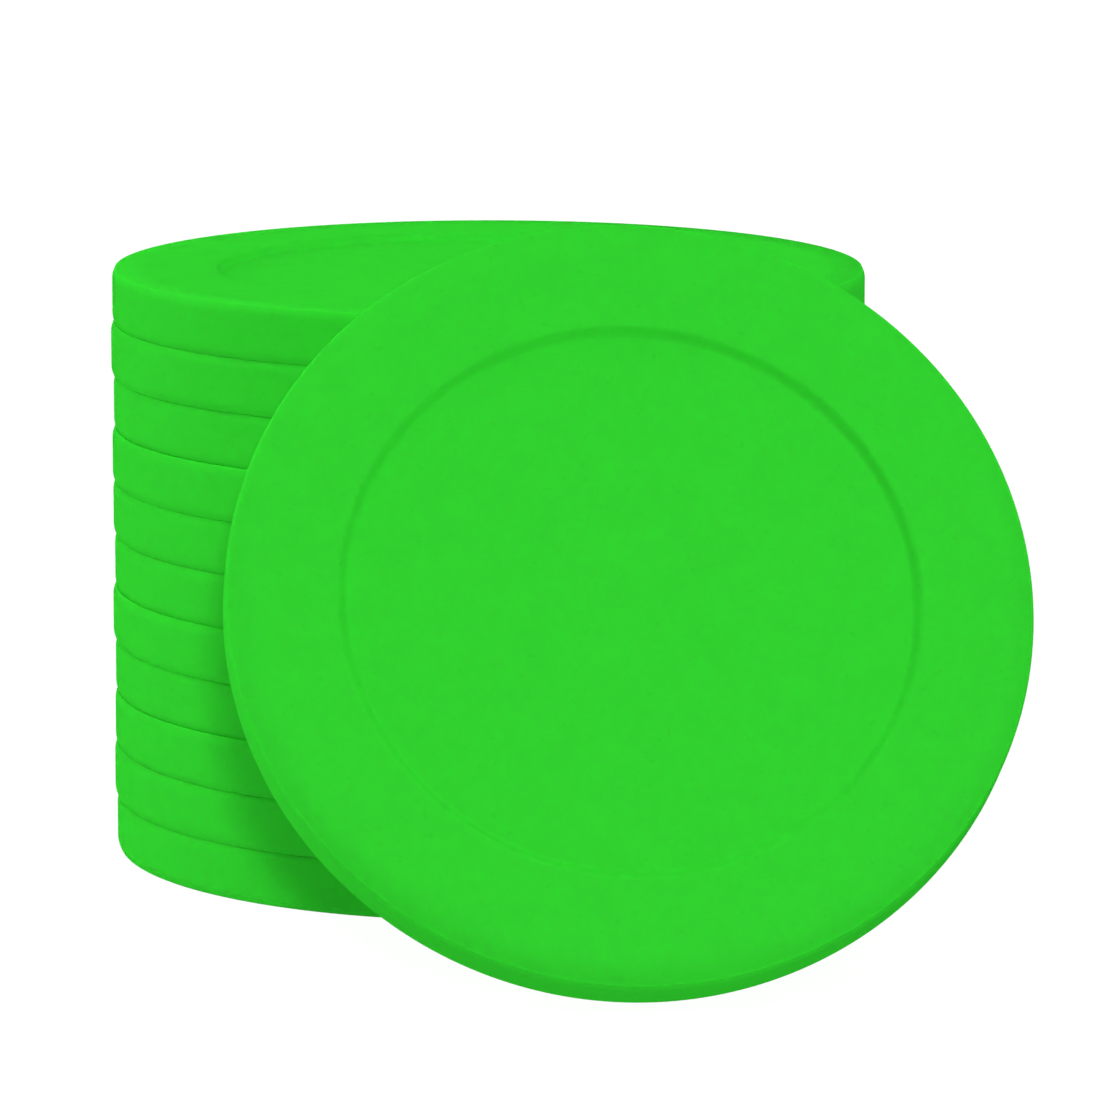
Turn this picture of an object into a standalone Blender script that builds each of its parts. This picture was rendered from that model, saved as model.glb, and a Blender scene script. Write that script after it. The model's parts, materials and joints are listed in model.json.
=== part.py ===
"""A set of gliding table pucks: a stack laid flat, and one more puck that leans against it.

Each puck is one plastic moulding: a round disc whose two faces both carry a broad raised
rim band around a shallow recess.  Metres, +Z up.  The set stands on the plane z = 0, and
the origin is the middle of the set's footprint.
"""

import math

import bpy
from mathutils import Matrix, Vector

# One puck
DIAMETER = 0.0635
THICKNESS = 0.0042  # across the two rim bands
RIM_RADIUS = 0.0016  # rounding at each end of the wall
RIM_TURN = math.radians(24)  # how far that rounding turns in from the wall
RIM_SLOPE = 0.0002  # height of the straight slope from the rounding up to the rim band
RECESS_SHARE = 0.73  # recess diameter over outer diameter
RECESS_DEPTH = 0.00065
STEP_WIDTH = 0.0012  # slope from the rim band down to the recess floor

# The stack
STACK_COUNT = 11
REST_GAP = 0.0003  # clearance wherever one puck rests on another
STACK_SLACK = 0.0001  # how far a hand-stacked puck sits off the stack's axis
SLACK_TURN = math.radians(137.5)  # turn of that offset from one puck to the next

# The leaning puck
LEAN_ANGLE = math.radians(30)  # back from upright
LEAN_HEADING = math.radians(4.5)  # its front turns this far from -Y towards +X
LEAN_SIDESTEP = 0.0074  # its middle is this far to the side of where its back meets the stack

# Fineness of the turned surface
TURN_STEPS = 48
ARC_STEPS = 3

# Finish of the moulded plastic
PUCK_GREEN = (0.033, 0.645, 0.031, 1.0)
PUCK_ROUGHNESS = 0.6

RADIUS = DIAMETER / 2
HALF_THICKNESS = THICKNESS / 2
RIM_HEIGHT = RIM_RADIUS * math.sin(RIM_TURN) + RIM_SLOPE
RIM_WIDTH = RIM_RADIUS * (1 - math.cos(RIM_TURN)) + RIM_SLOPE * math.tan(RIM_TURN)
PITCH = THICKNESS + REST_GAP
UP = Vector((0, 0, 1))


def clear_scene():
    """Removes whatever the scene holds."""
    for old in list(bpy.data.objects):
        bpy.data.objects.remove(old)


def plastic():
    """Coloured matte plastic."""
    material = bpy.data.materials.new("puck_plastic")
    material.use_nodes = True
    shader = material.node_tree.nodes["Principled BSDF"]
    shader.inputs["Base Color"].default_value = PUCK_GREEN
    shader.inputs["Roughness"].default_value = PUCK_ROUGHNESS
    shader.inputs["Metallic"].default_value = 0.0
    material.diffuse_color = PUCK_GREEN
    return material


def rim():
    """The rim from the upper rim band out and down into the wall: a straight slope, then an arc."""
    wall_end = HALF_THICKNESS - RIM_HEIGHT
    points = [(RADIUS - RIM_WIDTH, HALF_THICKNESS)]
    for step in range(ARC_STEPS + 1):
        turn = RIM_TURN * (1 - step / ARC_STEPS)
        x = RADIUS - RIM_RADIUS * (1 - math.cos(turn))
        z = wall_end + RIM_RADIUS * math.sin(turn)
        points.append((x, z))
    return points


def puck_section():
    """Half of a puck's section, from the middle of its top face to the middle of its underside."""
    step_top = RADIUS * RECESS_SHARE
    step_foot = step_top - STEP_WIDTH
    floor = HALF_THICKNESS - RECESS_DEPTH
    upper = [(0, floor), (step_foot, floor), (step_top, HALF_THICKNESS)] + rim()
    lower = [(x, -z) for x, z in reversed(upper)]
    return upper + lower


def section_mesh():
    """The section as a chain of edges in the XZ plane, shared by every puck."""
    points = [(x, 0, z) for x, z in puck_section()]
    edges = [(i, i + 1) for i in range(len(points) - 1)]
    mesh = bpy.data.meshes.new("puck_section")
    mesh.from_pydata(points, edges, [])
    return mesh


def turned_puck(name, mesh, material, collection):
    """One puck: the section turned once around its own Z axis."""
    puck = bpy.data.objects.new(name, mesh)
    collection.objects.link(puck)
    turn = puck.modifiers.new("turn", "SCREW")
    turn.axis = "Z"
    turn.angle = math.tau
    turn.screw_offset = 0
    turn.steps = TURN_STEPS
    turn.render_steps = TURN_STEPS
    turn.use_merge_vertices = True
    turn.merge_threshold = 0.00001
    turn.use_smooth_shade = True
    if material.name not in mesh.materials:
        mesh.materials.append(material)
    return puck


def slack_offset(index):
    """Where a stacked puck's centre sits, sideways from the stack's axis."""
    angle = index * SLACK_TURN
    return Vector((math.cos(angle), math.sin(angle), 0)) * STACK_SLACK


def stack_height(index):
    """Height of a stacked puck's centre above the floor."""
    return HALF_THICKNESS + index * PITCH


def build_stack(root, mesh, material, collection):
    """The stack.  Each puck is the child of the one below it, so lifting one lifts those above."""
    below = root
    place = Vector((0, 0, 0))
    for index in range(STACK_COUNT):
        puck = turned_puck(f"puck_{index + 1:02d}", mesh, material, collection)
        target = slack_offset(index) + UP * stack_height(index)
        puck.parent = below
        puck.location = target - place
        below = puck
        place = target


def lean_frame():
    """The leaning puck's directions: along its width, up its face, and out of its front."""
    outward = Vector((math.sin(LEAN_HEADING), -math.cos(LEAN_HEADING), 0))
    front = outward * math.cos(LEAN_ANGLE) + UP * math.sin(LEAN_ANGLE)
    up_face = UP * math.cos(LEAN_ANGLE) - outward * math.sin(LEAN_ANGLE)
    return UP.cross(outward), up_face, front, outward


def lean_reach():
    """From a puck's middle to the edge of a rim band, along a line LEAN_ANGLE off its own plane."""
    return (RADIUS - RIM_WIDTH) * math.cos(LEAN_ANGLE) + HALF_THICKNESS * math.sin(LEAN_ANGLE)


def lean_centre():
    """The leaning puck's centre: its lower edge on the floor, its back against the top puck."""
    width, _, front, outward = lean_frame()
    reach = lean_reach()
    top_puck = slack_offset(STACK_COUNT - 1) + UP * stack_height(STACK_COUNT - 1)
    depth = top_puck.dot(front) + reach + REST_GAP + HALF_THICKNESS
    distance = (depth - reach * front.z) / front.dot(outward)
    return outward * distance + width * LEAN_SIDESTEP + UP * reach


def hinge_offset():
    """Where the tipping axis passes, seen from the leaning puck's centre: down its face, and forward.

    The axis is level with the end of the rim band, and as high above the floor as it is behind the
    front face and one clearance.  So the puck can turn until it lies on its front, and its lower
    front edge never dips below the floor on the way.
    """
    down = RADIUS - RIM_WIDTH
    front_clearance = HALF_THICKNESS + REST_GAP - lean_reach() + down * math.cos(LEAN_ANGLE)
    return down, front_clearance / (1 + math.sin(LEAN_ANGLE))


def build_leaning_puck(root, mesh, material, collection):
    """The leaning puck, on a hinge near the place where its rim meets the floor."""
    width, up_face, front, _ = lean_frame()
    down, forward = hinge_offset()
    hinge = bpy.data.objects.new("lean_hinge", None)
    collection.objects.link(hinge)
    hinge.empty_display_size = RADIUS / 2
    hinge.parent = root
    hinge.location = lean_centre() - up_face * down + front * forward
    hinge.rotation_euler = Matrix((width, up_face, front)).transposed().to_euler()
    puck = turned_puck("leaning_puck", mesh, material, collection)
    puck.parent = hinge
    puck.location = Vector((0, down, -forward))


def centre_on_footprint(root):
    """Moves the whole set so that the middle of its footprint is the origin."""
    bpy.context.view_layer.update()
    graph = bpy.context.evaluated_depsgraph_get()
    corners = []
    for piece in bpy.data.objects:
        if piece.type != "MESH":
            continue
        solid = piece.evaluated_get(graph)
        place = solid.matrix_world
        corners += [place @ vertex.co for vertex in solid.data.vertices]
    for axis in (0, 1):
        values = [corner[axis] for corner in corners]
        root.location[axis] = -(min(values) + max(values)) / 2
    bpy.context.view_layer.update()


def build():
    """Builds the set in a collection of its own."""
    clear_scene()
    collection = bpy.data.collections.new("puck_set")
    bpy.context.scene.collection.children.link(collection)
    root = bpy.data.objects.new("set_origin", None)
    collection.objects.link(root)
    mesh = section_mesh()
    material = plastic()
    build_stack(root, mesh, material, collection)
    build_leaning_puck(root, mesh, material, collection)
    centre_on_footprint(root)


build()
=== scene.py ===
"""The looks of the puck set: fine turned mouldings in matte green plastic, in a pale studio."""

import json
import math

import bmesh
import bpy
import numpy as np
from mathutils import Matrix, Vector


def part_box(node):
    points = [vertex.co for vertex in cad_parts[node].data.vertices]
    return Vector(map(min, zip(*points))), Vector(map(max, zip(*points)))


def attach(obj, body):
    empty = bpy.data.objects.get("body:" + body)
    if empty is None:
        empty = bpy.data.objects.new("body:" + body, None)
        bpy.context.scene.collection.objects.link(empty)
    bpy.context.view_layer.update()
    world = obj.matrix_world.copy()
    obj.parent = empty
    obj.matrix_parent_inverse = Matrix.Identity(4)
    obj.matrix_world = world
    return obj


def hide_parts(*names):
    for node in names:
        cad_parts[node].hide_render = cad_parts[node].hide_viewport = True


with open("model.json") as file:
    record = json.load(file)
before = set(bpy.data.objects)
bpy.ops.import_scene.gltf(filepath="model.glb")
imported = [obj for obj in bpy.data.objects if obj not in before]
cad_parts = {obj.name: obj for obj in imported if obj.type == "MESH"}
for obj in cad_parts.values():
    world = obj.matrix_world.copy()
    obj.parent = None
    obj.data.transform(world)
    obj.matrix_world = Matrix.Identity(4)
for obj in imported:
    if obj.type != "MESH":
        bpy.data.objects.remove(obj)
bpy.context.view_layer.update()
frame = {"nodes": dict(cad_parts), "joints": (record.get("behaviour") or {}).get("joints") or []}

MM = 0.001
STACK = sorted(node for node in frame["nodes"] if node.startswith("puck_"))
LEANING = "leaning_puck"

# One puck's section
TOUCHING_GAP = 0.001 * MM  # hairline left between two stacked pucks
RIM_RADIUS = 1.6 * MM
RIM_TURN = math.radians(24)  # how far the rim turns in from the wall before it runs straight
RIM_SLOPE = 0.2 * MM  # height of the straight part, which ends at the band
RIM_BLEND = 2.6 * MM  # shading runs smoothly from the rim into this much of the band
RECESS_SHARE = 0.73  # recess width over puck width
RECESS_DEPTH = 0.65 * MM
STEP_WIDTH = 1.2 * MM
TURN_STEPS = 256
ARC_POINTS = 8
SLOPE_POINTS = 3
STEP_POINTS = 14
BAND_POINTS = 6
FLOOR_POINTS = 9
WALL_POINTS = 4

# The plastic: noise scales are per millimetre, and pairs are the ends of a range
GREEN = (0.033, 0.66, 0.030)  # linear
SUBSURFACE = 1.0
SCATTER = (0.1 * MM, 0.45 * MM, 0.1 * MM)  # how far light spreads inside the plastic
NOISE_RANGE = (0.3, 0.7)  # the part of a noise's values that a range is spread over
MOTTLE_SCALE = 0.35
MOTTLE = (0.985, 1.015)
SPECK_SCALE = 1.6
SPECKS = (0.95, 1.0)
SPECK_RANGE = (0.26, 0.36)  # only the lowest values, so that specks are sparse
SHEEN_SCALE = 0.8
ROUGHNESS = (0.52, 0.64)
GRAIN_SCALE = 3.5
GRAIN_DEPTH = 0.02 * MM
GRAIN_STRENGTH = 0.25

# The floor and the surround; what the camera sees of them is brighter than what lights the pucks
FLOOR_WIDTH = 40
PAPER_MATTE = 0.08
PAPER_GLOW_SEEN = 0.96
PAPER_GLOW_ON_PUCKS = 0.6
TENT_ON_PUCKS = 0.0
TENT_SEEN = 1.05

# Soft lamps: azimuth, elevation and width in degrees, and power; azimuth 0 is the camera's side
LAMPS = {
    "key": (5, 20, 6, 1.25),
    "overhead": (0, 88, 60, 1.2),
    "right": (46, 56, 40, 0.76),
    "left": (-115, 15, 50, 2.5),
    "behind_right": (122, 4, 40, 0.9),
}

# The camera, in puck widths from the stack's axis at floor level
CAMERA_BACK = 9.0
CAMERA_UP = 1.942
CAMERA_PITCH = math.radians(9.75)
CAMERA_SHIFT = 0.0553
CAMERA_LENS = 223.1  # millimetres
CAMERA_SENSOR = 36


def puck_frame(node):
    """A CAD puck's centre and its own directions (x, y, front), read from its mesh."""
    low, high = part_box(node)
    points = np.array([v.co for v in frame["nodes"][node].data.vertices])
    _, _, directions = np.linalg.svd(points - points.mean(axis=0), full_matrices=False)
    front = Vector(directions[2])
    if front.z < 0:
        front.negate()
    side = Vector((0, 1, 0)).cross(front)
    if node == LEANING:
        side = Vector(leaning_joint()["axis"])
    side = (side - front * side.dot(front)).normalized()
    return (low + high) / 2, side, front.cross(side), front


def leaning_joint():
    """The joint that tips the leaning puck."""
    return next(joint for joint in frame["joints"] if joint["child"] == LEANING)


def puck_sizes():
    """A puck's radius, its CAD thickness, and its full thickness when it touches its neighbour."""
    low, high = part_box(STACK[0])
    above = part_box(STACK[1])[0]
    return (high.x - low.x) / 2, high.z - low.z, above.z - low.z - TOUCHING_GAP


def eased(share):
    """A soft ramp from 0 to 1, flat at both ends."""
    return share ** 3 * (share * (6 * share - 15) + 10)


def rim_points():
    """The rim as points: how far inward and how far upward from the top of the wall."""
    turns = [RIM_TURN * i / ARC_POINTS for i in range(ARC_POINTS + 1)]
    points = [(RIM_RADIUS * (1 - math.cos(turn)), RIM_RADIUS * math.sin(turn)) for turn in turns]
    inward, upward = points[-1]
    for i in range(1, SLOPE_POINTS + 1):
        rise = RIM_SLOPE * i / SLOPE_POINTS
        points.append((inward + rise * math.tan(RIM_TURN), upward + rise))
    return points


def half_section(radius, face_height):
    """One face of the section, from the axis to the top of the wall: (radius, height) pairs."""
    rim = rim_points()
    rim_width, rim_height = rim[-1]
    step_top = radius * RECESS_SHARE
    step_foot = step_top - STEP_WIDTH
    band_end = radius - rim_width - RIM_BLEND
    points = [(step_foot * i / FLOOR_POINTS, face_height - RECESS_DEPTH) for i in range(FLOOR_POINTS)]
    for i in range(STEP_POINTS + 1):
        share = i / STEP_POINTS
        rise = RECESS_DEPTH * (1 - eased(share))
        points.append((step_foot + STEP_WIDTH * share, face_height - rise))
    for i in range(1, BAND_POINTS + 1):
        points.append((step_top + (band_end - step_top) * i / BAND_POINTS, face_height))
    points += [(radius - inward, face_height - rim_height + upward) for inward, upward in reversed(rim)]
    return points


def puck_section():
    """The whole section, from the middle of the front to the middle of the back."""
    radius, cad_thickness, thickness = puck_sizes()
    back = -cad_thickness / 2
    upper = half_section(radius, back + thickness)
    lower = [(out, -height) for out, height in half_section(radius, -back)]
    top, bottom = upper[-1][1], lower[-1][1]
    wall = [(radius, top + (bottom - top) * i / WALL_POINTS) for i in range(1, WALL_POINTS)]
    return upper + wall + lower[::-1]


def turned(name, section):
    """A closed mesh: the section turned once about Z."""
    mesh_builder = bmesh.new()
    first = mesh_builder.verts.new((0, 0, section[0][1]))
    last = mesh_builder.verts.new((0, 0, section[-1][1]))
    rings = []
    for out, height in section[1:-1]:
        ring = []
        for step in range(TURN_STEPS):
            angle = math.tau * step / TURN_STEPS
            place = (out * math.cos(angle), out * math.sin(angle), height)
            ring.append(mesh_builder.verts.new(place))
        rings.append(ring)
    for step in range(TURN_STEPS):
        after = (step + 1) % TURN_STEPS
        mesh_builder.faces.new((first, rings[0][step], rings[0][after]))
        mesh_builder.faces.new((last, rings[-1][after], rings[-1][step]))
        for upper, lower in zip(rings, rings[1:]):
            mesh_builder.faces.new((upper[step], lower[step], lower[after], upper[after]))
    mesh = bpy.data.meshes.new(name)
    mesh_builder.to_mesh(mesh)
    mesh_builder.free()
    mesh.shade_smooth()
    return mesh


def place_puck(node, name, section, material):
    """One moulded puck in place of a CAD node."""
    centre, side, along, front = puck_frame(node)
    mesh = turned(name, section)
    axes = Matrix((side, along, front)).transposed().to_4x4()
    mesh.transform(Matrix.Translation(centre) @ axes)
    mesh.materials.append(material)
    puck = bpy.data.objects.new(name, mesh)
    bpy.context.scene.collection.objects.link(puck)
    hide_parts(node)
    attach(puck, node)


def plastic():
    """Matte moulded plastic: an even green with a faint mottle, sparse specks and a fine grain."""
    material = bpy.data.materials.new("moulded_green_plastic")
    material.use_nodes = True
    tree = material.node_tree
    shader = tree.nodes["Principled BSDF"]
    place = tree.nodes.new("ShaderNodeTexCoord")

    def noise(scale_per_mm, detail):
        node = tree.nodes.new("ShaderNodeTexNoise")
        node.inputs["Scale"].default_value = scale_per_mm / MM
        node.inputs["Detail"].default_value = detail
        tree.links.new(place.outputs["Object"], node.inputs["Vector"])
        return node.outputs["Fac"]

    def ranged(value, ends, source=NOISE_RANGE):
        node = tree.nodes.new("ShaderNodeMapRange")
        node.inputs["From Min"].default_value, node.inputs["From Max"].default_value = source
        node.inputs["To Min"].default_value, node.inputs["To Max"].default_value = ends
        tree.links.new(value, node.inputs["Value"])
        return node.outputs["Result"]

    def times(first, second):
        node = tree.nodes.new("ShaderNodeMath")
        node.operation = "MULTIPLY"
        tree.links.new(first, node.inputs[0])
        tree.links.new(second, node.inputs[1])
        return node.outputs[0]

    mottle = ranged(noise(MOTTLE_SCALE, 3), MOTTLE)
    specks = ranged(noise(SPECK_SCALE, 2), SPECKS, SPECK_RANGE)
    tint = tree.nodes.new("ShaderNodeVectorMath")
    tint.operation = "SCALE"
    tint.inputs[0].default_value = GREEN
    tree.links.new(times(mottle, specks), tint.inputs["Scale"])
    tree.links.new(tint.outputs["Vector"], shader.inputs["Base Color"])
    tree.links.new(ranged(noise(SHEEN_SCALE, 4), ROUGHNESS), shader.inputs["Roughness"])
    shader.inputs["Specular IOR Level"].default_value = 0.0
    shader.subsurface_method = "BURLEY"
    shader.inputs["Subsurface Weight"].default_value = SUBSURFACE
    shader.inputs["Subsurface Radius"].default_value = SCATTER
    shader.inputs["Subsurface Scale"].default_value = 1
    bump = tree.nodes.new("ShaderNodeBump")
    bump.inputs["Strength"].default_value = GRAIN_STRENGTH
    bump.inputs["Distance"].default_value = GRAIN_DEPTH
    tree.links.new(noise(GRAIN_SCALE, 3), bump.inputs["Height"])
    tree.links.new(bump.outputs["Normal"], shader.inputs["Normal"])
    return material


def floor():
    """A wide pale floor, which is not part of the object."""
    bpy.ops.mesh.primitive_plane_add(size=FLOOR_WIDTH, location=(0, 0, 0))
    plane = bpy.context.object
    plane.name = "studio_floor"
    plane.data.materials.append(floor_paper())


def floor_paper():
    """White paper lit from within, so that shadows on it stay faint."""
    material = bpy.data.materials.new("white_paper")
    material.use_nodes = True
    tree = material.node_tree
    tree.nodes.remove(tree.nodes["Principled BSDF"])
    matte = tree.nodes.new("ShaderNodeBsdfDiffuse")
    matte.inputs["Color"].default_value = (PAPER_MATTE, PAPER_MATTE, PAPER_MATTE, 1)
    glow = tree.nodes.new("ShaderNodeEmission")
    seen = tree.nodes.new("ShaderNodeLightPath")
    strength = tree.nodes.new("ShaderNodeMapRange")
    strength.inputs["To Min"].default_value = PAPER_GLOW_ON_PUCKS
    strength.inputs["To Max"].default_value = PAPER_GLOW_SEEN
    tree.links.new(seen.outputs["Is Camera Ray"], strength.inputs["Value"])
    tree.links.new(strength.outputs["Result"], glow.inputs["Strength"])
    both = tree.nodes.new("ShaderNodeAddShader")
    tree.links.new(matte.outputs["BSDF"], both.inputs[0])
    tree.links.new(glow.outputs["Emission"], both.inputs[1])
    tree.links.new(both.outputs["Shader"], tree.nodes["Material Output"].inputs["Surface"])
    return material


def sun(name, azimuth, elevation, softness, power):
    """A soft distant lamp: azimuth 0 shines from the camera's side, 90 from the right."""
    data = bpy.data.lights.new(name, "SUN")
    data.angle = math.radians(softness)
    data.energy = power
    lamp = bpy.data.objects.new(name, data)
    bpy.context.scene.collection.objects.link(lamp)
    turn, lift = math.radians(azimuth), math.radians(elevation)
    back = Vector((math.sin(turn) * math.cos(lift), -math.cos(turn) * math.cos(lift), math.sin(lift)))
    lamp.rotation_euler = back.to_track_quat("Z", "Y").to_euler()


def studio():
    """World, lamps and floor."""
    world = bpy.data.worlds.new("studio")
    bpy.context.scene.world = world
    world.use_nodes = True
    tree = world.node_tree
    surround = tree.nodes["Background"]
    surround.inputs["Color"].default_value = (1, 1, 1, 1)
    path = tree.nodes.new("ShaderNodeLightPath")
    strength = tree.nodes.new("ShaderNodeMapRange")
    strength.inputs["To Min"].default_value = TENT_ON_PUCKS
    strength.inputs["To Max"].default_value = TENT_SEEN
    tree.links.new(path.outputs["Is Camera Ray"], strength.inputs["Value"])
    tree.links.new(strength.outputs["Result"], surround.inputs["Strength"])
    for name, (azimuth, elevation, softness, power) in LAMPS.items():
        sun(name, azimuth, elevation, softness, power)
    floor()


def camera():
    """A long lens in front of the stack and a little above it."""
    low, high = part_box(STACK[0])
    axis_foot = Vector(((low.x + high.x) / 2, (low.y + high.y) / 2, 0))
    width = high.x - low.x
    data = bpy.data.cameras.new("camera")
    data.lens = CAMERA_LENS
    data.sensor_width = CAMERA_SENSOR
    data.shift_x = CAMERA_SHIFT
    data.clip_start = width / 10
    data.clip_end = width * 1000
    shot = bpy.data.objects.new("camera", data)
    bpy.context.scene.collection.objects.link(shot)
    shot.location = axis_foot + Vector((0, -CAMERA_BACK * width, CAMERA_UP * width))
    shot.rotation_euler = (math.pi / 2 - CAMERA_PITCH, 0, 0)
    bpy.context.scene.camera = shot


def build():
    """The pucks, the studio round them and the camera."""
    section = puck_section()
    material = plastic()
    for node in STACK + [LEANING]:
        place_puck(node, "moulded_" + node, section, material)
    studio()
    camera()
    bpy.context.scene.view_settings.view_transform = "Standard"


build()
